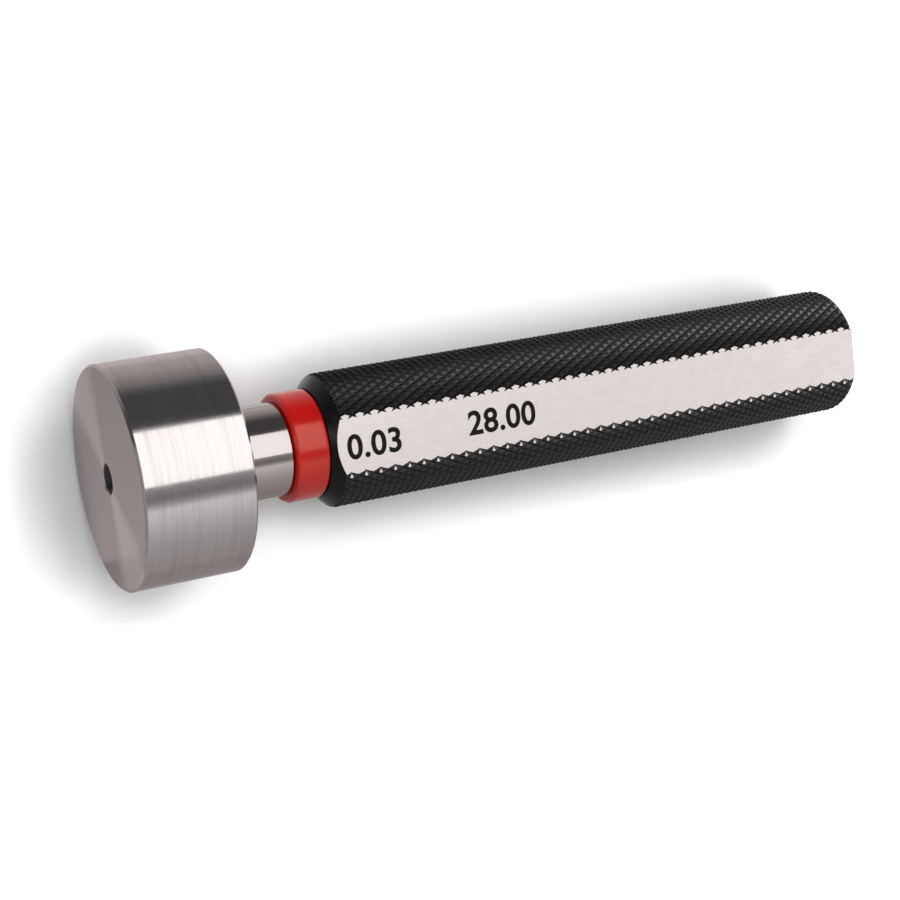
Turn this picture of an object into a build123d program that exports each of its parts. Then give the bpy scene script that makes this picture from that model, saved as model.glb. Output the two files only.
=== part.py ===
from build123d import *
import math
import os

os.makedirs("parts", exist_ok=True)

# A reject plug gauge for a 28 mm hole, lying on its side. All sizes are in millimetres.
# The gauge's axis is X, with the head towards -X and the handle towards +X. The origin is the
# middle of the gauging cylinder, and the milled flat of the handle faces up, towards +Z.

# Head: the gauging cylinder and the neck behind it
nominal_diameter = 28.0
upper_deviation = 0.033
gauging_width = 14.0
rim_bevel = 0.3
neck_diameter = 12.0
neck_length = 8.0
root_radius = 0.5
shoulder_bevel = 0.2

# Seat of the marker ring, behind the neck's shoulder
seat_diameter = 10.0
seat_clearance = 0.02

# Self-holding taper that carries the handle, 1:50 on the diameter
taper_ratio = 50.0
shank_length = 22.0
taper_clearance = 0.02
tail_bevel = 0.6

# Centre holes that the member is ground on
centre_angle = 60.0
front_centre_mouth = 4.0
front_centre_pilot = 2.0
tail_centre_mouth = 3.2
tail_centre_pilot = 1.6
pilot_length_share = 1.2

# Marker ring
ring_diameter = 14.0
ring_width = 4.5
ring_end_play = 0.02
ring_edge_radius = 0.5
ring_bore_bevel = 0.2

# Handle, measured over the crests of its knurl
handle_diameter = 17.3
handle_length = 80.0
nose_diameter = 14.0
nose_angle = 45.0
flat_height = 7.62
rear_bevel = 0.6

# Taper socket and drift bore of the handle
mouth_bevel = 0.3
socket_runout = 2.0
drill_point_angle = 118.0
drift_bore_diameter = 6.0
drift_bore_bevel = 0.5

# Radii that follow from the sizes above
gauging_radius = (nominal_diameter + upper_deviation) / 2
neck_radius = neck_diameter / 2
seat_radius = seat_diameter / 2
tail_radius = seat_radius - shank_length / taper_ratio / 2
ring_radius = ring_diameter / 2
ring_bore_radius = seat_radius + seat_clearance
handle_radius = handle_diameter / 2
nose_radius = nose_diameter / 2
drift_radius = drift_bore_diameter / 2

# Places along the axis, from the front face of the head to the rear face of the handle
front_x = -gauging_width / 2
back_x = gauging_width / 2
seat_x = back_x + neck_length
ring_x = seat_x + ring_end_play
handle_x = ring_x + ring_width + ring_end_play
tail_x = handle_x + shank_length
socket_end_x = tail_x + socket_runout
handle_end_x = handle_x + handle_length

# The nose cone, the socket and the drill point at the socket's end
nose_length = (handle_radius - nose_radius) / math.tan(math.radians(nose_angle))
socket_mouth_radius = seat_radius + taper_clearance
socket_end_radius = socket_mouth_radius - (socket_end_x - handle_x) / taper_ratio / 2
drill_point_length = (socket_end_radius - drift_radius) / math.tan(math.radians(drill_point_angle / 2))
drift_start_x = socket_end_x + drill_point_length


def centre_depth(mouth, pilot):
    """Depth of a centre hole: its cone from mouth to pilot diameter, and the pilot below it."""
    cone = (mouth - pilot) / 2 / math.tan(math.radians(centre_angle / 2))
    return cone + pilot * pilot_length_share


# Gauging member: one ground turning of head, neck, shoulder, ring seat and taper shank
with BuildPart() as gauging_member:
    with BuildSketch(Plane.XY):
        with BuildLine():
            Polyline(
                (front_x, 0),
                (front_x, gauging_radius),
                (back_x, gauging_radius),
                (back_x, neck_radius),
                (seat_x, neck_radius),
                (seat_x, seat_radius),
                (handle_x, seat_radius),
                (tail_x, tail_radius),
                (tail_x, 0),
                close=True,
            )
        make_face()
    revolve(axis=Axis.X)

    # Bevelled rims of the gauging cylinder, the ground-in root of the neck, and bevels on its
    # shoulder and on the tail
    circles = gauging_member.edges().filter_by(GeomType.CIRCLE)
    chamfer(circles.group_by(SortBy.RADIUS)[-1], rim_bevel)
    chamfer(circles.filter_by_position(Axis.X, seat_x, seat_x).sort_by(SortBy.RADIUS)[-1], shoulder_bevel)
    fillet(circles.filter_by_position(Axis.X, back_x, back_x).sort_by(SortBy.RADIUS)[0], root_radius)
    chamfer(circles.sort_by(Axis.X)[-1], tail_bevel)

    # Centre holes in the front face and in the tail
    with Locations(Plane((front_x, 0, 0), z_dir=(-1, 0, 0))):
        CounterSinkHole(
            radius=front_centre_pilot / 2,
            counter_sink_radius=front_centre_mouth / 2,
            depth=centre_depth(front_centre_mouth, front_centre_pilot),
            counter_sink_angle=centre_angle,
        )
    with Locations(Plane((tail_x, 0, 0), z_dir=(1, 0, 0))):
        CounterSinkHole(
            radius=tail_centre_pilot / 2,
            counter_sink_radius=tail_centre_mouth / 2,
            depth=centre_depth(tail_centre_mouth, tail_centre_pilot),
            counter_sink_angle=centre_angle,
        )

gauging_member.part.label = "gauging_member"
export_step(gauging_member.part, "parts/gauging_member.step")


# Marker ring: a moulded ring that slips over the taper shank onto its seat
with BuildPart() as marker_ring:
    with BuildSketch(Plane.XY) as ring_profile:
        with Locations((ring_x, ring_bore_radius)):
            Rectangle(ring_width, ring_radius - ring_bore_radius, align=(Align.MIN, Align.MIN))
        fillet(ring_profile.vertices().sort_by(Axis.Y)[-2:], ring_edge_radius)
        chamfer(ring_profile.vertices().sort_by(Axis.Y)[:2], ring_bore_bevel)
    revolve(axis=Axis.X)

marker_ring.part.label = "marker_ring"
export_step(marker_ring.part, "parts/marker_ring.step")


# Handle: a turned bar with a nose cone, bored from both ends and milled flat along its top
with BuildPart() as handle:
    with BuildSketch(Plane.XY):
        with BuildLine():
            Polyline(
                (handle_x, 0),
                (handle_x, nose_radius),
                (handle_x + nose_length, handle_radius),
                (handle_end_x, handle_radius),
                (handle_end_x, 0),
                close=True,
            )
        make_face()
    revolve(axis=Axis.X)

    # Marking flat, milled from end to end, and the bevel that breaks the whole rear edge
    with BuildSketch(Plane.XY.offset(flat_height)):
        with Locations((handle_x, 0)):
            Rectangle(handle_length, handle_diameter, align=(Align.MIN, Align.CENTER))
    extrude(amount=handle_radius - flat_height, mode=Mode.SUBTRACT)
    chamfer(handle.faces().sort_by(Axis.X)[-1].outer_wire().edges(), rear_bevel)

    # Reamed taper socket with the drill point at its end, running out into the drift bore
    with BuildSketch(Plane.XY):
        with BuildLine():
            Polyline(
                (handle_x, 0),
                (handle_x, socket_mouth_radius),
                (socket_end_x, socket_end_radius),
                (drift_start_x, drift_radius),
                (handle_end_x, drift_radius),
                (handle_end_x, 0),
                close=True,
            )
        make_face()
    revolve(axis=Axis.X, mode=Mode.SUBTRACT)
    bores = handle.edges().filter_by(GeomType.CIRCLE)
    chamfer(bores.filter_by_position(Axis.X, handle_x, handle_x).sort_by(SortBy.RADIUS)[0], mouth_bevel)
    chamfer(bores.filter_by_position(Axis.X, handle_end_x, handle_end_x).sort_by(SortBy.RADIUS)[0], drift_bore_bevel)

handle.part.label = "handle"
export_step(handle.part, "parts/handle.step")
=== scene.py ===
"""Looks of a reject plug gauge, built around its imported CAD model.

The gauge lies on its side: its axis is X, the head is at -X, the handle at +X, and the milled flat
of the handle faces up. The solids of the gauging member and the marker ring are shown as they are,
with a finish each. The handle is made again here with its diamond knurl, and gets its marks.

Sizes are in millimetres, apart from those of the lamps, and the frequency of a pattern is the
number of its lines or lumps in a millimetre.
"""

import logging
import math
from collections.abc import Iterator, Mapping, Sequence
from contextlib import contextmanager
from dataclasses import dataclass
from enum import Enum
from functools import cached_property
from typing import Any

import bmesh
import bpy
from mathutils import Matrix, Vector


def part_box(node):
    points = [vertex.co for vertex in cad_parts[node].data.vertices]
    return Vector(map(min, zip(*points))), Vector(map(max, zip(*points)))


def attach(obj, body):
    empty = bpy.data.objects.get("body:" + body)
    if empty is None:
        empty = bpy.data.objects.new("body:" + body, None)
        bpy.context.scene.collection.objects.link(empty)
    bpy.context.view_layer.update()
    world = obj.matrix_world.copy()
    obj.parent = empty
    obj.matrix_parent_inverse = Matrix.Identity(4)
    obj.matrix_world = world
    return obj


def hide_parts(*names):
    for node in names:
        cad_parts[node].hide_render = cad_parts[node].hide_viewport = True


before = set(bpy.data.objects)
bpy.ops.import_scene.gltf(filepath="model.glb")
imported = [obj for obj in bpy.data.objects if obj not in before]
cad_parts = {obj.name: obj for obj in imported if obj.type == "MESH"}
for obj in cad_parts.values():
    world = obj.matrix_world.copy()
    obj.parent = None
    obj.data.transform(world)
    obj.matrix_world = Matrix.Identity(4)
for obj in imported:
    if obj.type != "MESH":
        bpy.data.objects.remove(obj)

log = logging.getLogger("plug_gauge")

Pair = tuple[float, float]
Point = tuple[float, float, float]
Colour = tuple[float, float, float]
Item = bpy.types.Object
Material = bpy.types.Material
Socket = bpy.types.NodeSocket

MM = 0.001
TURN = 2 * math.pi

# In metres: points closer than the first are one point, and edges shorter than the second are none
SAME_POINT = 1e-7
NO_EDGE = 1e-8

# The light of the backdrop, and of the sheets that give the steel its warm reflections
WHITE: Colour = (1.0, 1.0, 1.0)
WARM: Colour = (1.0, 0.92, 0.92)

# How far over the floor the studio's lying sheets are
SHEET_HEIGHT = 0.3


class Cut(Enum):
    """How a tool's shape works on a body."""

    KEEP_SHARED = "INTERSECT"
    TAKE_AWAY = "DIFFERENCE"


class Run(Enum):
    """Which way the lines of a studio card run over the floor."""

    ALONG = "along the gauge"
    ACROSS = "across the gauge"


class Value:
    """A number in a node tree. Each operator adds the Math node that it stands for."""

    def __init__(self, nodes: "Nodes", socket: Socket) -> None:
        """Wraps an output socket of the tree that nodes fills."""
        self.nodes = nodes
        self.socket = socket

    def __add__(self, other: "Value | float") -> "Value":
        """self + other."""
        return self.nodes.math("ADD", self, other)

    __radd__ = __add__

    def __sub__(self, other: "Value | float") -> "Value":
        """self - other."""
        return self.nodes.math("SUBTRACT", self, other)

    def __rsub__(self, other: float) -> "Value":
        """other - self."""
        return self.nodes.math("SUBTRACT", other, self)

    def __mul__(self, other: "Value | float") -> "Value":
        """self * other."""
        return self.nodes.math("MULTIPLY", self, other)

    __rmul__ = __mul__

    def __truediv__(self, other: "Value | float") -> "Value":
        """self / other."""
        return self.nodes.math("DIVIDE", self, other)

    def __pow__(self, power: float) -> "Value":
        """self ** power."""
        return self.nodes.math("POWER", self, power)

    def at_least(self, least: float) -> "Value":
        """This value, or the least where it is smaller."""
        return self.nodes.math("MAXIMUM", self, least)

    def swing(self, amount: float) -> "Value":
        """A pattern's distance from its middle, times an amount."""
        return (self - 0.5) * amount

    def band(self, low: float, high: float) -> "Value":
        """A smooth step of this value.

        Args:
            low: Where the step starts, at 0.
            high: Where it ends, at 1. A high below low turns the step round.

        Returns:
            The step, from 0 to 1.
        """
        settings = {"interpolation_type": "SMOOTHSTEP"}
        inputs = {"Value": self, "From Min": low, "From Max": high}
        return Value(self.nodes, self.nodes.output("ShaderNodeMapRange", settings, inputs))


class Nodes:
    """Fills a shader or geometry node tree."""

    def __init__(self, tree: bpy.types.NodeTree) -> None:
        """Takes the tree to fill, and empties it."""
        self.tree = tree
        tree.nodes.clear()

    def add(
        self,
        kind: str,
        settings: Mapping[str, Any] | None = None,
        inputs: Mapping[str | int, Any] | None = None,
    ) -> bpy.types.Node:
        """Adds one node.

        Args:
            kind: The node's type.
            settings: Its properties, set first.
            inputs: What each input gets, by name or number: a value, a Value, a socket, or a
                list of sockets.

        Returns:
            The new node.
        """
        made = self.tree.nodes.new(kind)
        for name, setting in (settings or {}).items():
            setattr(made, name, setting)
        for key, given in (inputs or {}).items():
            for source in given if isinstance(given, list) else [given]:
                self._feed(made.inputs[key], source)
        return made

    def output(self, kind: str, *given: Mapping[Any, Any] | None) -> Socket:
        """The first output of a new node, made from what add takes."""
        return self.add(kind, *given).outputs[0]

    def _feed(self, socket: Socket, source: Any) -> None:
        """Links a socket to its source, or gives it a plain value.

        Args:
            socket: The input socket.
            source: A value, a Value or an output socket.
        """
        if isinstance(source, Value):
            source = source.socket
        if isinstance(source, Socket):
            self.tree.links.new(source, socket)
        elif socket.type == "RGBA":
            socket.default_value = (*source, 1.0)
        else:
            socket.default_value = source

    def math(self, operation: str, *operands: Value | float) -> Value:
        """The result of a new Math node, whose operation is a name such as "SINE"."""
        inputs = dict(enumerate(operands))
        return Value(self, self.output("ShaderNodeMath", {"operation": operation}, inputs))

    def split(self, vector: Socket) -> tuple[Value, Value, Value]:
        """The three numbers of a vector socket."""
        x, y, z = self.add("ShaderNodeSeparateXYZ", None, {0: vector}).outputs
        return Value(self, x), Value(self, y), Value(self, z)

    def join(self, x: Value | float, y: Value | float, z: Value | float) -> Socket:
        """A vector socket from three numbers."""
        return self.output("ShaderNodeCombineXYZ", None, {0: x, 1: y, 2: z})

    def blend(self, share: Value, first: Any, second: Any) -> Socket:
        """A colour between two. The share, from 0 to 1, is how much it has of the second."""
        inputs = {0: share, 6: first, 7: second}
        return self.add("ShaderNodeMix", {"data_type": "RGBA"}, inputs).outputs[2]


class MaterialNodes(Nodes):
    """Fills a new material's tree."""

    def __init__(self, name: str) -> None:
        """Makes the material.

        Args:
            name: Its name.
        """
        self.material = bpy.data.materials.new(name)
        self.material.use_nodes = True
        super().__init__(self.material.node_tree)

    def end_in(self, shader: Socket) -> Material:
        """Ends the tree with the shader that its surface shows, and gives the material."""
        self.add("ShaderNodeOutputMaterial", None, {"Surface": shader})
        return self.material


class SurfaceNodes(MaterialNodes):
    """Fills a finish's tree, in the gauge's own coordinates, around one Principled shader."""

    # How strong each finer layer of a pattern is, next to the one before it
    finer = 0.55
    finer_hoops = 0.6
    hoop_layers = 3.0
    off_axis = 0.001

    def __init__(self, name: str) -> None:
        """Makes the material and reads the object's coordinates in millimetres.

        Args:
            name: The material's name.
        """
        super().__init__(name)
        metres = self.add("ShaderNodeTexCoord").outputs["Object"]
        scaled = {0: metres, "Scale": 1 / MM}
        self.place = self.output("ShaderNodeVectorMath", {"operation": "SCALE"}, scaled)
        self.x, self.y, self.z = self.split(self.place)

    @cached_property
    def radius(self) -> Value:
        """The distance from the gauge's axis."""
        return (self.y * self.y + self.z * self.z) ** 0.5

    @cached_property
    def across(self) -> Value:
        """The sideways part of the direction from the axis."""
        return self.y / (self.radius + self.off_axis)

    @cached_property
    def upward(self) -> Value:
        """The upward part of the direction from the axis."""
        return self.z / (self.radius + self.off_axis)

    def noise(self, vector: Socket, frequency: float, layers: float) -> Value:
        """A noise pattern, about 0.5 on average, with some finer layers."""
        inputs = {"Vector": vector, "Scale": frequency, "Detail": layers, "Roughness": self.finer}
        return Value(self, self.output("ShaderNodeTexNoise", None, inputs))

    def lumps(self, frequency: float, layers: float = 3.0) -> Value:
        """A noise pattern that is even all ways."""
        return self.noise(self.place, frequency, layers)

    def strokes(self, frequencies: Point, layers: float) -> Value:
        """A noise pattern with a frequency of its own along X, Y and Z."""
        x, y, z = frequencies
        return self.noise(self.join(self.x * x, self.y * y, self.z * z), 1.0, layers)

    def hoops(self, frequency: float, sweep: float) -> Value:
        """A noise pattern that hardly changes round the gauge's axis.

        Args:
            frequency: Its frequency along the axis and away from it.
            sweep: How much it changes round the axis.

        Returns:
            The pattern, about 0.5 on average.
        """
        inputs = {
            "Vector": self.join(self.x * frequency, self.across * sweep, self.upward * sweep),
            "W": self.radius * frequency,
            "Scale": 1.0,
            "Detail": self.hoop_layers,
            "Roughness": self.finer_hoops,
        }
        settings = {"noise_dimensions": "4D"}
        return Value(self, self.output("ShaderNodeTexNoise", settings, inputs))

    def bump(self, height: Value, depth: float) -> Socket:
        """A normal that follows a height from 0 to 1, where 1 stands for the depth."""
        return self.output("ShaderNodeBump", None, {"Height": height, "Distance": depth * MM})

    def finish(self, **inputs: Any) -> Material:
        """The material, from its Principled shader's inputs with underscores for spaces."""
        named = {key.replace("_", " "): value for key, value in inputs.items()}
        return self.end_in(self.output("ShaderNodeBsdfPrincipled", None, named))


@dataclass(frozen=True)
class GroundSteel:
    """Hardened steel, ground round its axis, with dark hardening scale left in its centre holes.

    The places of its faces are along X. A span says where a step in the finish starts and ends. Its
    front face has a painted highlight in a bow-tie, and its front face and neck have darker colours
    of painted shade.
    """

    front_face: float
    back_face: float
    seat: float
    tail_face: float
    centre_radius: float = 2.0
    colour: Colour = (0.47, 0.445, 0.44)
    worn_colour: Colour = (0.41, 0.385, 0.38)
    # Painted shade: the neck and the front face are given darker colours than the wall
    neck_shade_colour: Colour = (0.40, 0.362, 0.350)
    face_shade_colour: Colour = (0.395, 0.368, 0.365)
    painted_glint_colour: Colour = (0.56, 0.53, 0.525)
    scale_colour: Colour = (0.012, 0.011, 0.010)
    edge_tint: Colour = (0.78, 0.77, 0.77)
    face_span: Pair = (0.20, 0.05)
    mouth_span: Pair = (0.02, 0.25)
    centre_span: Pair = (0.02, -0.10)
    root_span: Pair = (0.1, 0.4)
    seat_span: Pair = (0.0, 0.1)
    line_frequency: float = 9.0
    line_sweep: float = 0.35
    line_depth: float = 0.0010
    face_line_share: float = 6.0
    streak_frequency: float = 1.7
    streak_sweep: float = 0.8
    streak_span: Pair = (0.40, 0.72)
    smudge_frequency: float = 0.22
    smudge_layers: float = 2.0
    # Painted highlight: the front face is lighter in a bow-tie, turned this way, under any light
    painted_glint_turn: Pair = (0.87, -0.49)
    painted_glint_ripple: float = 0.25
    painted_glint_span: Pair = (0.72, 1.0)
    wall_roughness: float = 0.12
    face_roughness: float = 0.25
    streak_roughness: float = 0.14
    smudge_roughness: float = 0.08
    scale_roughness: float = 0.3
    least_roughness: float = 0.05

    def material(self) -> Material:
        """Builds the material.

        Returns:
            The material of the whole member.
        """
        nodes = SurfaceNodes("ground_steel_finish")
        lines = nodes.hoops(self.line_frequency, self.line_sweep)
        streaks = nodes.hoops(self.streak_frequency, self.streak_sweep)
        smudges = nodes.lumps(self.smudge_frequency, self.smudge_layers)
        behind_face, before_tail = nodes.x - self.front_face, self.tail_face - nodes.x
        on_face = behind_face.band(*self.face_span)
        in_centre = (nodes.radius - self.centre_radius).band(*self.centre_span)
        scale = in_centre * behind_face.band(*self.mouth_span) * before_tail.band(*self.mouth_span)
        behind_back, before_seat = nodes.x - self.back_face, self.seat - nodes.x
        on_neck = behind_back.band(*self.root_span) * before_seat.band(*self.seat_span)
        roughness = (
            self.wall_roughness
            + on_face * (self.face_roughness - self.wall_roughness)
            + streaks.swing(self.streak_roughness)
            + smudges.swing(self.smudge_roughness)
            + scale * self.scale_roughness
        )
        worn = nodes.blend(streaks.band(*self.streak_span), self.colour, self.worn_colour)
        # The darker neck colour is painted shade
        wall = nodes.blend(on_neck, worn, self.neck_shade_colour)
        # Painted highlight: a lighter bow-tie across the front face, fixed in its colour
        towards = nodes.across * self.painted_glint_turn[0] + nodes.upward * self.painted_glint_turn[1]
        painted_glint = (towards * towards + streaks.swing(self.painted_glint_ripple)).band(*self.painted_glint_span)
        face = nodes.blend(painted_glint, self.face_shade_colour, self.painted_glint_colour)
        ground = nodes.blend(on_face, wall, face)
        return nodes.finish(
            Base_Color=nodes.blend(scale, ground, self.scale_colour),
            Metallic=1.0 - scale,
            Specular_Tint=self.edge_tint,
            Roughness=roughness.at_least(self.least_roughness),
            Normal=nodes.bump(lines * (1.0 + on_face * self.face_line_share), self.line_depth),
        )


@dataclass(frozen=True)
class MarkerPlastic:
    """Red moulded plastic with a satin skin, in which the flow of the moulding shows."""

    colour: Colour = (0.53, 0.003, 0.002)
    dull_colour: Colour = (0.48, 0.003, 0.002)
    gloss_tint: Colour = (1.0, 0.95, 0.78)
    cloud_frequency: float = 0.8
    cloud_span: Pair = (0.35, 0.75)
    skin_frequency: float = 9.0
    skin_share: float = 0.6
    flow_frequencies: Point = (6.0, 0.3, 0.3)
    flow_share: float = 0.8
    relief: float = 0.004
    roughness: float = 0.18
    uneven_roughness: float = 0.10
    gloss: float = 0.55
    milkiness: float = 0.25
    milk_depth: float = 1.0

    def material(self) -> Material:
        """Builds the material.

        Returns:
            The material of the ring.
        """
        nodes = SurfaceNodes("marker_red_finish")
        clouds = nodes.lumps(self.cloud_frequency, 4.0)
        skin = nodes.lumps(self.skin_frequency)
        flow = nodes.strokes(self.flow_frequencies, 2.0)
        uneven = clouds.swing(self.uneven_roughness) + flow.swing(self.uneven_roughness)
        relief = skin * self.skin_share + flow * self.flow_share
        return nodes.finish(
            Base_Color=nodes.blend(clouds.band(*self.cloud_span), self.colour, self.dull_colour),
            Roughness=self.roughness + uneven,
            Normal=nodes.bump(relief, self.relief),
            Specular_IOR_Level=self.gloss,
            Specular_Tint=self.gloss_tint,
            Subsurface_Weight=self.milkiness,
            Subsurface_Scale=self.milk_depth * MM,
        )


@dataclass(frozen=True)
class BlackAnodised:
    """Black anodised aluminium, rubbed slightly paler on the crests of the knurl."""

    crest_radius: float
    rubbed_height: float = 0.15
    colour: Colour = (0.006, 0.0057, 0.0055)
    crest_colour: Colour = (0.026, 0.0243, 0.023)
    grain_frequency: float = 14.0
    patch_frequency: float = 0.35
    patch_span: Pair = (0.25, 0.8)
    relief: float = 0.006
    roughness: float = 0.32
    patch_roughness: float = 0.16
    grain_roughness: float = 0.08
    rubbed_smoothness: float = 0.08
    gloss: float = 0.21

    def material(self) -> Material:
        """Builds the material.

        Returns:
            The material of the knurl.
        """
        nodes = SurfaceNodes("black_anodised_finish")
        grain = nodes.lumps(self.grain_frequency)
        patches = nodes.lumps(self.patch_frequency)
        crest = nodes.radius.band(self.crest_radius - self.rubbed_height, self.crest_radius)
        rubbed = crest * patches.band(*self.patch_span)
        uneven = patches.swing(self.patch_roughness) + grain.swing(self.grain_roughness)
        return nodes.finish(
            Base_Color=nodes.blend(rubbed, self.colour, self.crest_colour),
            Specular_IOR_Level=self.gloss,
            Roughness=self.roughness + uneven - rubbed * self.rubbed_smoothness,
            Normal=nodes.bump(grain, self.relief),
        )


@dataclass(frozen=True)
class TurnedNose:
    """Black anodising over the smooth, turned nose cone, with faint tool lines round it."""

    colour: Colour = (0.005, 0.005, 0.006)
    worn_colour: Colour = (0.010, 0.010, 0.011)
    line_frequency: float = 9.0
    patch_frequency: float = 0.6
    patch_span: Pair = (0.4, 0.8)
    relief: float = 0.003
    roughness: float = 0.26
    patch_roughness: float = 0.12
    line_roughness: float = 0.10
    gloss: float = 0.14

    def material(self) -> Material:
        """Builds the material.

        Returns:
            The material of the handle's turned and broken edges.
        """
        nodes = SurfaceNodes("turned_nose_finish")
        lines = nodes.noise(nodes.join(nodes.radius * self.line_frequency, 0.0, 0.0), 1.0, 3.0)
        patches = nodes.lumps(self.patch_frequency)
        uneven = patches.swing(self.patch_roughness) + lines.swing(self.line_roughness)
        return nodes.finish(
            Base_Color=nodes.blend(patches.band(*self.patch_span), self.colour, self.worn_colour),
            Specular_IOR_Level=self.gloss,
            Roughness=self.roughness + uneven,
            Normal=nodes.bump(lines, self.relief),
        )


@dataclass(frozen=True)
class MilledFlat:
    """Bare aluminium of the flat, milled and then rubbed fine along the handle."""

    colour: Colour = (0.77, 0.71, 0.69)
    grey_colour: Colour = (0.68, 0.625, 0.605)
    stroke_frequencies: Point = (0.6, 7.0, 1.0)
    grain_frequency: float = 5.0
    cloud_frequency: float = 0.5
    tone_shares: Point = (0.40, 0.35, 0.25)
    tone_span: Pair = (0.40, 0.62)
    grain_relief_share: float = 0.5
    relief: float = 0.004
    roughness: float = 0.38
    tone_roughness: float = 0.3

    def material(self) -> Material:
        """Builds the material.

        Returns:
            The material of the flat.
        """
        nodes = SurfaceNodes("milled_flat_finish")
        strokes = nodes.strokes(self.stroke_frequencies, 4.0)
        grain = nodes.lumps(self.grain_frequency, 4.0)
        clouds = nodes.lumps(self.cloud_frequency, 2.0)
        stroke_share, grain_share, cloud_share = self.tone_shares
        tone = strokes * stroke_share + grain * grain_share + clouds * cloud_share
        return nodes.finish(
            Base_Color=nodes.blend(tone.band(*self.tone_span), self.colour, self.grey_colour),
            Metallic=1.0,
            Roughness=self.roughness + tone.swing(self.tone_roughness),
            Normal=nodes.bump(strokes + grain * self.grain_relief_share, self.relief),
        )


@dataclass(frozen=True)
class ReamedBore:
    """Bare aluminium inside the handle, with the fine hoops that the tools leave."""

    colour: Colour = (0.62, 0.60, 0.58)
    hoop_colour: Colour = (0.50, 0.48, 0.46)
    hoop_frequencies: Point = (5.0, 0.2, 0.2)
    relief: float = 0.01
    roughness: float = 0.34
    hoop_roughness: float = 0.2

    def material(self) -> Material:
        """Builds the material.

        Returns:
            The material of the socket and the drift bore.
        """
        nodes = SurfaceNodes("reamed_bore_finish")
        hoops = nodes.strokes(self.hoop_frequencies, 3.0)
        return nodes.finish(
            Base_Color=nodes.blend(hoops, self.colour, self.hoop_colour),
            Metallic=1.0,
            Roughness=self.roughness + hoops.swing(self.hoop_roughness),
            Normal=nodes.bump(hoops, self.relief),
        )


@dataclass(frozen=True)
class EtchedMark:
    """The dark, matt figures etched into the flat."""

    colour: Colour = (0.005, 0.005, 0.005)
    faint_colour: Colour = (0.016, 0.015, 0.015)
    pit_frequency: float = 7.0
    pit_span: Pair = (0.45, 0.8)
    relief: float = 0.01
    roughness: float = 0.70
    pit_roughness: float = 0.2
    gloss: float = 0.1

    def material(self) -> Material:
        """Builds the material.

        Returns:
            The material of the figures.
        """
        nodes = SurfaceNodes("etched_mark_finish")
        pits = nodes.lumps(self.pit_frequency, 4.0)
        return nodes.finish(
            Base_Color=nodes.blend(pits.band(*self.pit_span), self.colour, self.faint_colour),
            Specular_IOR_Level=self.gloss,
            Roughness=self.roughness + pits.swing(self.pit_roughness),
            Normal=nodes.bump(pits, self.relief),
        )


def show(name: str, data: bpy.types.ID) -> Item:
    """Puts a mesh, lettering, lamp or camera into the scene.

    Args:
        name: The object's name.
        data: What it shows.

    Returns:
        The object, at the origin.
    """
    made = bpy.data.objects.new(name, data)
    bpy.context.scene.collection.objects.link(made)
    return made


def coat(node: str, finish: Material) -> None:
    """Gives a CAD solid its finish."""
    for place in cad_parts[node].material_slots:
        place.material = finish


@contextmanager
def opened(mesh: bpy.types.Mesh) -> Iterator[bmesh.types.BMesh]:
    """Opens a mesh as a shape to work on, and then writes the shape back.

    Args:
        mesh: The mesh.

    Yields:
        Its shape.
    """
    shape = bmesh.new()
    shape.from_mesh(mesh)
    yield shape
    shape.to_mesh(mesh)
    shape.free()


def close(shape: bmesh.types.BMesh) -> None:
    """Merges doubles and turns every face outwards."""
    bmesh.ops.remove_doubles(shape, verts=shape.verts, dist=SAME_POINT)
    bmesh.ops.recalc_face_normals(shape, faces=shape.faces)


def turn(name: str, profile: Sequence[Pair], sides: int = 144) -> Item:
    """Makes a solid of revolution round the X axis.

    Args:
        name: The object's name.
        profile: Its outline as (x, radius), from axis to axis.
        sides: How many faces go round.

    Returns:
        The closed solid.
    """
    mesh = bpy.data.meshes.new(name)
    round_axis = {"cent": (0, 0, 0), "axis": (1, 0, 0), "angle": TURN, "steps": sides}
    with opened(mesh) as shape:
        points = [shape.verts.new((x * MM, 0.0, radius * MM)) for x, radius in profile]
        outline = [shape.edges.new(pair) for pair in zip(points, points[1:])]
        bmesh.ops.spin(shape, geom=points + outline, use_merge=True, **round_axis)
        close(shape)
    return show(name, mesh)


def prism(name: str, profile: Sequence[Pair], half_width: float) -> Item:
    """Makes a straight prism across the gauge.

    Args:
        name: The object's name.
        profile: Its outline as (x, z).
        half_width: How far it reaches to each side.

    Returns:
        The closed solid.
    """
    mesh = bpy.data.meshes.new(name)
    side = half_width * MM
    with opened(mesh) as shape:
        near = shape.faces.new([shape.verts.new((x * MM, -side, z * MM)) for x, z in profile])
        pulled = bmesh.ops.extrude_face_region(shape, geom=[near], use_keep_orig=True)
        far = [part for part in pulled["geom"] if isinstance(part, bmesh.types.BMVert)]
        bmesh.ops.translate(shape, vec=(0, 2 * side, 0), verts=far)
        close(shape)
    return show(name, mesh)


def evaluated(piece: Item) -> bpy.types.Mesh:
    """An object's mesh, with its modifiers applied."""
    graph = bpy.context.evaluated_depsgraph_get()
    return bpy.data.meshes.new_from_object(piece.evaluated_get(graph))


def settle(piece: Item) -> None:
    """Replaces an object's mesh by its evaluated one, and takes its modifiers off.

    Args:
        piece: The object.
    """
    mesh = evaluated(piece)
    piece.modifiers.clear()
    piece.data = mesh


def cut(body: Item, tool: Item, how: Cut, lining: Material) -> None:
    """Cuts a body with a tool, and removes the tool.

    Args:
        body: The solid to cut.
        tool: The closed solid that cuts it.
        how: What is kept.
        lining: The material of the cut.
    """
    tool.data.materials.append(lining)
    modifier = body.modifiers.new(tool.name, "BOOLEAN")
    modifier.operation = how.value
    modifier.solver = "EXACT"
    modifier.material_mode = "TRANSFER"
    modifier.object = tool
    settle(body)
    bpy.data.objects.remove(tool)


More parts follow.
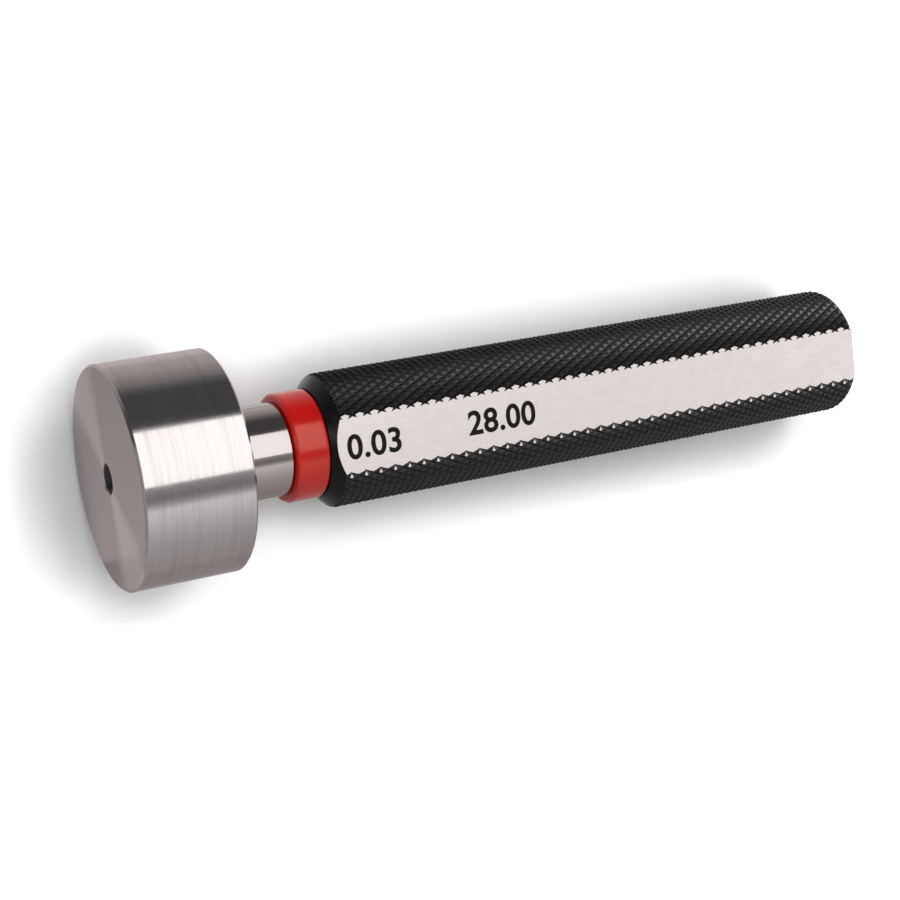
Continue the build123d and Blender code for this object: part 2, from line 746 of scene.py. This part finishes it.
def polish(piece: Item, turned: Sequence[Material], angle: float = 20.0) -> None:
    """Smooths the turned faces of a piece and leaves its others flat.

    Args:
        piece: The piece.
        turned: The materials of its turned faces.
        angle: Edges sharper than this, in degrees, stay sharp between them.
    """
    slots = {place for place, made in enumerate(piece.data.materials) if made in turned}
    with opened(piece.data) as shape:
        bmesh.ops.remove_doubles(shape, verts=shape.verts, dist=SAME_POINT)
        bmesh.ops.dissolve_degenerate(shape, edges=shape.edges, dist=NO_EDGE)
        for face in shape.faces:
            face.smooth = face.material_index in slots
        for edge in shape.edges:
            edge.smooth = edge.is_manifold and edge.calc_face_angle(0.0) < math.radians(angle)


@dataclass(frozen=True)
class GaugingMember:
    """The ground head, neck and taper shank, shown as the solid that the CAD gives."""

    node: str = "gauging_member"
    gauging_width: float = 14.0
    rim_bevel: float = 0.3
    neck_length: float = 8.0

    def dress(self) -> None:
        """Gives the solid its finish, which knows the member's faces."""
        low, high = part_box(self.node)
        front, tail = low[0] / MM, high[0] / MM
        back = front + self.gauging_width
        coat(self.node, GroundSteel(front, back, back + self.neck_length, tail).material())
        log.info("%s: ground steel on the CAD solid", self.node)

    def rear_rim(self) -> Vector:
        """Where the head's rear rim touches the floor, in metres."""
        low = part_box(self.node)[0]
        return Vector((low[0] + (self.gauging_width - self.rim_bevel) * MM, 0.0, low[2]))


@dataclass(frozen=True)
class MarkerRing:
    """The red ring between head and handle, shown as the solid that the CAD gives."""

    node: str = "marker_ring"
    finish: MarkerPlastic = MarkerPlastic()

    def dress(self) -> None:
        """Gives the solid its finish."""
        coat(self.node, self.finish.material())
        log.info("%s: red plastic on the CAD solid", self.node)


class KnurlNodes(Nodes):
    """Geometry Nodes that lay teeth on two offset lattices and wrap them round the axis."""

    kinds = {
        "Axial Pitch": "Float",
        "Teeth": "Int",
        "Rows": "Int",
        "First Crest": "Float",
        "Crest Radius": "Float",
        "Tooth Depth": "Float",
        "Crest Share": "Float",
        "Turn": "Float",
        "Finish": "Material",
    }
    seam = 0.002

    def __init__(self) -> None:
        """Makes the tree, with an input for each size."""
        super().__init__(bpy.data.node_groups.new("diamond_knurl", "GeometryNodeTree"))
        add_socket = self.tree.interface.new_socket
        self.identifiers = {
            name: add_socket(name=name, in_out="INPUT", socket_type="NodeSocket" + kind).identifier
            for name, kind in self.kinds.items()
        }
        add_socket(name="Geometry", in_out="OUTPUT", socket_type="NodeSocketGeometry")
        given = self.add("NodeGroupInput").outputs
        numbers = [Value(self, given[name]) for name in self.kinds if name != "Finish"]
        self.pitch, self.teeth, self.rows, self.first = numbers[:4]
        self.radius, self.depth, self.crest_share, self.turn = numbers[4:]
        self.length = (self.rows - 1) * self.pitch
        bar = self._sealed(self._tube(self._sheet(self._tooth())))
        dressed = {"Geometry": bar, "Material": given["Finish"]}
        painted = self.output("GeometryNodeSetMaterial", None, dressed)
        self.add("NodeGroupOutput", None, {0: painted})

    def _tooth(self) -> Socket:
        """A four-sided pyramid one unit high, cut off at its crest, with no base.

        Returns:
            Its geometry.
        """
        reach = {"Radius Top": self.crest_share, "Radius Bottom": 1.0}
        sizes = {"Vertices": 4, "Depth": 1.0, **reach}
        cone = self.add("GeometryNodeMeshCone", {"fill_type": "NGON"}, sizes)
        parts = {"Geometry": cone.outputs["Mesh"], "Selection": cone.outputs["Bottom"]}
        return self.output("GeometryNodeDeleteGeometry", {"domain": "FACE"}, parts)

    def _sheet(self, tooth: Socket) -> Socket:
        """A flat sheet of two lattices of teeth, the second between the teeth of the first.

        Args:
            tooth: The tooth's geometry.

        Returns:
            The sheet, with one unit of Y to a tooth.
        """
        counts = {"Vertices X": self.rows, "Vertices Y": self.teeth}
        sizes = {"Size X": self.length, "Size Y": self.teeth - 1}
        grid = self.output("GeometryNodeMeshGrid", None, {**sizes, **counts})
        lattices = []
        for shift in (0.0, 0.5):
            x = self.first + self.length * 0.5 + self.pitch * shift
            y = (self.teeth - 1) * 0.5 + shift
            moved = {"Geometry": grid, "Translation": self.join(x, y, 0.0)}
            lattices.append(self.output("GeometryNodeTransform", None, moved))
        placed = {
            "Points": self.output("GeometryNodeJoinGeometry", None, {0: lattices}),
            "Instance": tooth,
            "Scale": self.join(self.pitch * 0.5, 0.5, 1.0),
        }
        spread = self.output("GeometryNodeInstanceOnPoints", None, placed)
        return self.output("GeometryNodeRealizeInstances", None, {0: spread})

    def _tube(self, sheet: Socket) -> Socket:
        """Wraps the sheet of teeth into a tube and welds its seams.

        Args:
            sheet: The sheet.

        Returns:
            The tube, open at both ends.
        """
        x, y, height = self.split(self.output("GeometryNodeInputPosition"))
        angle = (y + self.turn) / self.teeth * TURN
        reach = self.radius - self.depth + self.depth * height
        place = self.join(x, reach * self.math("SINE", angle), reach * self.math("COSINE", angle))
        wrapped = {"Geometry": sheet, "Position": place}
        return self._welded(self.output("GeometryNodeSetPosition", None, wrapped))

    def _sealed(self, tube: Socket) -> Socket:
        """Draws each open end of the tube in to a point on the axis.

        Args:
            tube: The tube.

        Returns:
            The closed bar, in triangles.
        """
        neighbours = self.output("GeometryNodeInputMeshEdgeNeighbors")
        equal = {"data_type": "INT", "operation": "EQUAL"}
        rim = self.output("FunctionNodeCompare", equal, {2: neighbours, 3: 1})
        edges = {"Mesh": tube, "Selection": rim, "Offset Scale": 0.0}
        drawn = self.add("GeometryNodeExtrudeMesh", {"mode": "EDGES"}, edges).outputs
        x = self.split(self.output("GeometryNodeInputPosition"))[0]
        at_far_end = self.math("GREATER_THAN", x, self.first + self.length * 0.5)
        tip = self.first - self.pitch * 0.5 + at_far_end * (self.length + self.pitch * 1.5)
        pinched = {
            "Geometry": drawn["Mesh"],
            "Selection": drawn["Top"],
            "Position": self.join(tip, 0.0, 0.0),
        }
        closed = self._welded(self.output("GeometryNodeSetPosition", None, pinched))
        faceted = self.output("GeometryNodeTriangulate", None, {0: closed})
        return self.output("GeometryNodeRealizeInstances", None, {0: faceted})

    def _welded(self, geometry: Socket) -> Socket:
        """Merges the points that meet along the seams."""
        merged = {"Geometry": geometry, "Distance": self.seam * MM}
        return self.output("GeometryNodeMergeByDistance", None, merged)


@dataclass(frozen=True)
class Envelope:
    """The handle's ends, crest radius and flat, as the CAD node gives them."""

    start: float
    end: float
    radius: float
    flat: float


@dataclass(frozen=True)
class KnurledHandle:
    """The handle with its diamond knurl, nose cone, flat, taper socket and drift bore."""

    node: str = "handle"
    body: str = "grip"
    axial_pitch: float = 2.0
    teeth: int = 47
    tooth_depth: float = 0.35
    crest_share: float = 0.14
    first_crest: float = 22.58
    crest_turn: float = -0.125
    nose_radius: float = 7.0
    rear_bevel: float = 0.6
    edge_break: float = 0.15
    socket_radii: Pair = (5.02, 4.78)
    socket_length: float = 24.0
    mouth_bevel: float = 0.3
    drift_radius: float = 3.0
    drift_bevel: float = 0.5
    drill_point_angle: float = 118.0
    spare: float = 0.05
    overrun: float = 2.0

    @cached_property
    def envelope(self) -> Envelope:
        """The envelope of the CAD node that this handle replaces."""
        low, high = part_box(self.node)
        return Envelope(low[0] / MM, high[0] / MM, high[1] / MM, high[2] / MM)

    def rear_edge(self) -> Vector:
        """Where the handle's rear edge touches the floor, in metres."""
        low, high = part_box(self.node)
        return Vector((high[0] - self.rear_bevel * MM, 0.0, low[2]))

    def build(self) -> None:
        """Builds the handle."""
        handle = self._knurled_bar(BlackAnodised(self.envelope.radius).material())
        nose, bore = TurnedNose().material(), ReamedBore().material()
        cut(handle, self._blank(), Cut.KEEP_SHARED, nose)
        cut(handle, self._mill(), Cut.TAKE_AWAY, MilledFlat().material())
        cut(handle, self._edge_tool(), Cut.TAKE_AWAY, nose)
        cut(handle, self._reamer(), Cut.TAKE_AWAY, bore)
        polish(handle, (nose, bore))
        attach(handle, self.body)
        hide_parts(self.node)
        log.info("%s: %d faces", handle.name, len(handle.data.polygons))

    def _knurled_bar(self, finish: Material) -> Item:
        """The knurl as a closed bar that runs past both ends of the handle.

        Args:
            finish: The knurl's material.

        Returns:
            The bar.
        """
        room = self.first_crest - self.envelope.start + self.overrun
        first = self.first_crest - math.ceil(room / self.axial_pitch) * self.axial_pitch
        rows = math.ceil((self.envelope.end + self.overrun - first) / self.axial_pitch) + 1
        knurl = KnurlNodes()
        bar = show("knurled_handle", bpy.data.meshes.new("knurled_handle"))
        modifier = bar.modifiers.new("knurl", "NODES")
        modifier.node_group = knurl.tree
        sizes = {
            "Axial Pitch": self.axial_pitch * MM,
            "Teeth": self.teeth,
            "Rows": rows,
            "First Crest": first * MM,
            "Crest Radius": self.envelope.radius * MM,
            "Tooth Depth": self.tooth_depth * MM,
            "Crest Share": self.crest_share,
            "Turn": self.crest_turn,
            "Finish": finish,
        }
        for name, size in sizes.items():
            modifier[knurl.identifiers[name]] = size
        settle(bar)
        with opened(bar.data) as shape:
            bmesh.ops.recalc_face_normals(shape, faces=shape.faces)
        return bar

    def _blank(self) -> Item:
        """The turned outline that the knurl runs out into, with nose cone and rear bevel.

        Returns:
            The solid.
        """
        start, end = self.envelope.start, self.envelope.end
        outer = self.envelope.radius + self.spare
        drop = self.rear_bevel + self.spare
        profile = [
            (start, 0),
            (start, self.nose_radius),
            (start + outer - self.nose_radius, outer),
            (end - drop, outer),
            (end, outer - drop),
            (end, 0),
        ]
        return turn("blank", profile)

    def _mill(self) -> Item:
        """What is milled off above the flat, which runs out through the rear bevel.

        Returns:
            The solid.
        """
        front, back = self.envelope.start - self.overrun, self.envelope.end + self.overrun
        flat, top = self.envelope.flat, self.envelope.radius + self.overrun
        return prism("mill", [(front, flat), (back, flat), (back, top), (front, top)], top)

    def _edge_tool(self) -> Item:
        """What breaks the flat's rear edge.

        Returns:
            The solid.
        """
        end, flat, reach = self.envelope.end, self.envelope.flat, self.edge_break + self.overrun
        back, top = end + self.overrun, flat + self.overrun
        profile = [(end - reach, top), (back, flat - reach), (back, top)]
        return prism("edge_tool", profile, self.envelope.radius)

    def _reamer(self) -> Item:
        """What is bored out: the taper socket, its drill point and the drift bore, with bevels.

        Returns:
            The solid.
        """
        start, end = self.envelope.start, self.envelope.end
        mouth, bottom = self.socket_radii
        socket_end = start + self.socket_length
        point = (bottom - self.drift_radius) / math.tan(math.radians(self.drill_point_angle / 2))
        profile = [
            (start - self.spare, 0),
            (start - self.spare, mouth + self.mouth_bevel + self.spare),
            (start + self.mouth_bevel, mouth),
            (socket_end, bottom),
            (socket_end + point, self.drift_radius),
            (end - self.drift_bevel, self.drift_radius),
            (end + self.spare, self.drift_radius + self.drift_bevel + self.spare),
            (end + self.spare, 0),
        ]
        return turn("reamer", profile)


@dataclass(frozen=True)
class FlatMark:
    """One group of plain figures on the flat, read from the head to the handle's end."""

    name: str
    figures: str
    centre: Pair
    height: float = 3.0
    height_share: float = 0.70
    spacing: float = 1.04
    swell: float = 0.10
    half_skin: float = 0.004
    lift: float = 0.002
    arc_steps: int = 10

    def build(self, flat: float, finish: Material) -> None:
        """Builds the figures as a thin closed skin on the flat.

        Args:
            flat: The flat's height over the axis.
            finish: Their material.
        """
        curve = bpy.data.curves.new(self.name, "FONT")
        curve.body = self.figures
        curve.size = self.height / self.height_share * MM
        curve.align_x, curve.align_y = "CENTER", "CENTER"
        curve.offset = self.swell * MM
        curve.extrude = self.half_skin * MM
        curve.space_character = self.spacing
        curve.resolution_u = self.arc_steps
        lettering = show(self.name, curve)
        mesh = evaluated(lettering)
        bpy.data.objects.remove(lettering)
        mesh.transform(Matrix.Translation(Vector((*self.centre, flat + self.lift)) * MM))
        with opened(mesh) as shape:
            close(shape)
        mesh.materials.clear()
        mesh.materials.append(finish)
        mark = show(self.name, mesh)
        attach(mark, "grip")
        log.info("%s: %d faces", mark.name, len(mesh.polygons))


@dataclass(frozen=True)
class Ground:
    """The plane that the gauge rests on, under the head's rear rim and the handle's rear edge."""

    rear_rim: Vector
    rear_edge: Vector

    def at(self, x: float, y: float, height: float = 0.0) -> Vector:
        """A place over the plane.

        Args:
            x: How far along the gauge.
            y: How far to its side.
            height: How far over the plane.

        Returns:
            The place, in metres.
        """
        share = (x * MM - self.rear_rim.x) / (self.rear_edge.x - self.rear_rim.x)
        under = self.rear_rim.lerp(self.rear_edge, share)
        return Vector((under.x, y * MM, under.z + height * MM))


def facing(place: Vector, back: Vector, across: Vector) -> Matrix:
    """The matrix of a lamp or camera at a place, from where its back and its width point."""
    axes = Matrix((across, back.cross(across), back)).transposed().to_4x4()
    return Matrix.Translation(place) @ axes


def seen(nodes: Nodes) -> Value:
    """Tells the rays that see the backdrop: the camera's, reflected ones and transmitted ones.

    Args:
        nodes: The tree.

    Returns:
        1 for such a ray, and 0 for the others.
    """
    rays = nodes.add("ShaderNodeLightPath").outputs
    reflected, transmitted = rays["Is Glossy Ray"], rays["Is Transmission Ray"]
    return Value(nodes, rays["Is Camera Ray"]) + Value(nodes, reflected) + Value(nodes, transmitted)


def lying(*strips: Pair) -> tuple[Point, ...]:
    """The outline of a card just over the floor, from each line's place and shade."""
    return tuple((place, SHEET_HEIGHT, shade) for place, shade in strips)


@dataclass(frozen=True)
class Softbox:
    """A rectangular lamp whose long side runs along the gauge. Its sizes are in metres."""

    name: str
    direction: Point
    distance: float
    width: float
    height: float
    radiance: float

    def hang(self, target: Vector) -> None:
        """Hangs the lamp.

        Args:
            target: What it points at, in metres.
        """
        lamp = bpy.data.lights.new(self.name, "AREA")
        lamp.shape = "RECTANGLE"
        lamp.size, lamp.size_y = self.width, self.height
        lamp.energy = self.radiance * math.pi * self.width * self.height
        back = Vector(self.direction).normalized()
        across = (Vector((1, 0, 0)) - back * back.x).normalized()
        made = show(self.name, lamp)
        made.matrix_world = facing(target + back * self.distance, back, across)
        log.info("%s: %.2f x %.2f m", self.name, self.width, self.height)


@dataclass(frozen=True)
class Card:
    """A glowing card over the floor, hidden from the camera and from shadows, that only the
    polished steel's reflections show.

    Its outline is a row of straight lines, each given by its place over the floor, its height and
    its shade, which is how brightly it glows. The sheets lying just over the floor stand for the
    floor in reflections, with painted light and shade of the floor near the gauge in their glow.
    """

    name: str
    outline: tuple[Point, ...]
    tint: Colour = WHITE
    span: Pair = (-300.0, 400.0)
    run: Run = Run.ALONG

    def stand(self, ground: Ground) -> None:
        """Sets the card up, for reflections only.

        Args:
            ground: What it stands on.
        """
        places = [(far, near, height) for near, height, _ in self.outline for far in self.span]
        if self.run is Run.ACROSS:
            places = [(near, far, height) for far, near, height in places]
        ends = [ground.at(*place) for place in places]
        faces = [(row, row + 1, row + 3, row + 2) for row in range(0, len(ends) - 2, 2)]
        mesh = bpy.data.meshes.new(self.name)
        mesh.from_pydata(ends, [], faces)
        shades = mesh.attributes.new("shade", "FLOAT", "POINT")
        for place, point in enumerate(shades.data):
            point.value = self.outline[place // 2][2]
        nodes = MaterialNodes(self.name)
        shade = nodes.add("ShaderNodeAttribute", {"attribute_name": "shade"}).outputs["Fac"]
        light = {"Color": self.tint, "Strength": shade}
        mesh.materials.append(nodes.end_in(nodes.output("ShaderNodeEmission", None, light)))
        card = show(self.name, mesh)
        card.visible_camera = False
        card.visible_diffuse = False
        card.visible_transmission = False
        card.visible_shadow = False
        log.info("%s: %d strips", self.name, len(faces))


@dataclass(frozen=True)
class Studio:
    """The camera of the photograph, the lamps, and the pale floor that the gauge lies on."""

    camera_place: Point = (-69.456, 37.073, 227.002)
    camera_forward: Point = (0.42536, -0.16219, -0.89037)
    camera_up: Point = (0.16823, 0.98083, -0.09830)
    camera_sight: Pair = (10.0, 20000.0)
    lens: float = 77.7358
    sensor: float = 36.0
    floor_reach: float = 3000.0
    floor_shade: float = 0.80
    # The floor's glow for the camera and reflections; near the gauge it fades into a painted
    # shadow, set by the shadow sizes below
    floor_lift: float = 0.45
    shadow_reach: float = 13.0
    shadow_span: Pair = (0.68, 0.91)
    shadow_lean: Point = (0.12, 0.32, 0.94)
    shadow_samples: int = 8
    room_light: float = 0.42
    lit_place: Point = (10.0, 0.0, 0.0)
    softboxes: tuple[Softbox, ...] = (
        Softbox("key_softbox", (0.020, 0.367, 0.930), 0.60, 0.60, 0.623, 2.18),
        Softbox("end_softbox", (0.953, 0.237, 0.191), 0.90, 0.26, 0.55, 7.5),
    )
    cards: tuple[Card, ...] = (
        Card("key_backing", ((-67.0, 703.0, 0.0), (540.0, 448.0, 0.0))),
        Card(
            "gap_card",
            (
                (-59.0, 589.0, 0.50),
                (-130.0, 580.0, 0.38),
                (-190.0, 566.0, 0.30),
                (-240.0, 545.0, 0.48),
                (-300.0, 514.0, 1.12),
            ),
        ),
        Card(
            "front_panel",
            (
                (-300.0, 514.0, 1.12),
                (-394.0, 456.0, 0.96),
                (-451.0, 398.0, 0.83),
                (-499.0, 332.0, 0.73),
                (-566.0, 183.0, 0.59),
                (-589.0, 22.0, 0.54),
            ),
        ),
        Card(
            "front_sheet",
            (
                (-589.0, 22.0, 0.56),
                *lying((-589.0, 0.56), (-90.0, 0.54), (-61.0, 0.48), (-26.0, 0.50), (-13.0, 0.44)),
            ),
            WARM,
        ),
        Card(
            "back_flag",
            ((85.0, 86.0, 0.10), (85.0, 20.0, 0.105), (85.0, 7.0, 0.22), *lying((85.0, 0.34))),
        ),
        Card(
            "back_sheet",
            (
                *lying((85.0, 0.34), (70.0, 0.39), (50.0, 0.50), (40.0, 0.61)),
                *lying((27.0, 0.72), (22.0, 0.95), (15.0, 0.80)),
            ),
            WARM,
        ),
        Card("end_sheet", lying((-60.0, 0.95), (-10.0, 0.70), (40.0, 0.40)), WARM, (-80.0, -8.5)),
        Card(
            "end_flag",
            ((-300.0, SHEET_HEIGHT, 0.50), (-300.0, 320.0, 0.50)),
            span=(-350.0, 200.0),
            run=Run.ACROSS,
        ),
    )

    def build(self, ground: Ground) -> None:
        """Sets the studio up.

        Args:
            ground: What the gauge rests on.
        """
        self._camera()
        self._floor(ground)
        self._room()
        for softbox in self.softboxes:
            softbox.hang(Vector(self.lit_place) * MM)
        for card in self.cards:
            card.stand(ground)
        bpy.context.scene.view_settings.view_transform = "Standard"

    def _camera(self) -> None:
        """Makes the camera, fitted to the rims and outlines of the photographed gauge."""
        camera = bpy.data.cameras.new("photo_camera")
        camera.lens = self.lens
        camera.sensor_width = self.sensor
        camera.clip_start, camera.clip_end = (far * MM for far in self.camera_sight)
        back = -Vector(self.camera_forward).normalized()
        across = Vector(self.camera_up).cross(back).normalized()
        made = show("photo_camera", camera)
        made.matrix_world = facing(Vector(self.camera_place) * MM, back, across)
        bpy.context.scene.camera = made
        log.info("camera: %.1f mm lens", self.lens)

    def _floor(self, ground: Ground) -> None:
        """Lays the floor, which glows for the camera and reflections, less where the gauge is near,
        so that a painted shadow lies round it.

        Args:
            ground: Where it lies.
        """
        low, high = -self.floor_reach, self.floor_reach
        mesh = bpy.data.meshes.new("floor")
        corner_places = ((low, low), (high, low), (high, high), (low, high))
        mesh.from_pydata([ground.at(x, y) for x, y in corner_places], [], [(0, 1, 2, 3)])
        nodes = MaterialNodes("floor_paint")
        matt = nodes.output("ShaderNodeBsdfDiffuse", None, {"Color": (self.floor_shade,) * 3})
        # Painted shadow: the glow fades where the gauge is near, as ambient occlusion measures it
        near = {"Distance": self.shadow_reach * MM, "Normal": nodes.join(*self.shadow_lean)}
        settings = {"samples": self.shadow_samples}
        openness = nodes.add("ShaderNodeAmbientOcclusion", settings, near).outputs["AO"]
        glow = seen(nodes) * Value(nodes, openness).band(*self.shadow_span) * self.floor_lift
        lift = nodes.output("ShaderNodeEmission", None, {"Color": WHITE, "Strength": glow})
        both = nodes.output("ShaderNodeAddShader", None, {0: matt, 1: lift})
        mesh.materials.append(nodes.end_in(both))
        show("floor", mesh)
        log.info("floor: %.1f m wide", 2 * self.floor_reach * MM)

    def _room(self) -> None:
        """Fills the room with even light, in front of a white backdrop."""
        world = bpy.data.worlds.new("room")
        bpy.context.scene.world = world
        world.use_nodes = True
        nodes = Nodes(world.node_tree)
        light = self.room_light + seen(nodes) * (1.0 - self.room_light)
        room = nodes.output("ShaderNodeBackground", None, {"Color": WHITE, "Strength": light})
        nodes.add("ShaderNodeOutputWorld", None, {"Surface": room})
        log.info("room: light level %.2f", self.room_light)


def main() -> None:
    """Builds the sub-assemblies in order, and then the studio."""
    logging.basicConfig(level=logging.INFO, format="%(message)s")
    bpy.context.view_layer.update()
    member, ring, handle = GaugingMember(), MarkerRing(), KnurledHandle()
    member.dress()
    ring.dress()
    handle.build()
    etched = EtchedMark().material()
    for mark in (
        FlatMark("limit_mark", "0.03", (25.2, -0.45)),
        FlatMark("size_mark", "28.00", (43.2, -0.20)),
    ):
        mark.build(handle.envelope.flat, etched)
    Studio().build(Ground(member.rear_rim(), handle.rear_edge()))


if __name__ == "__main__":
    main()
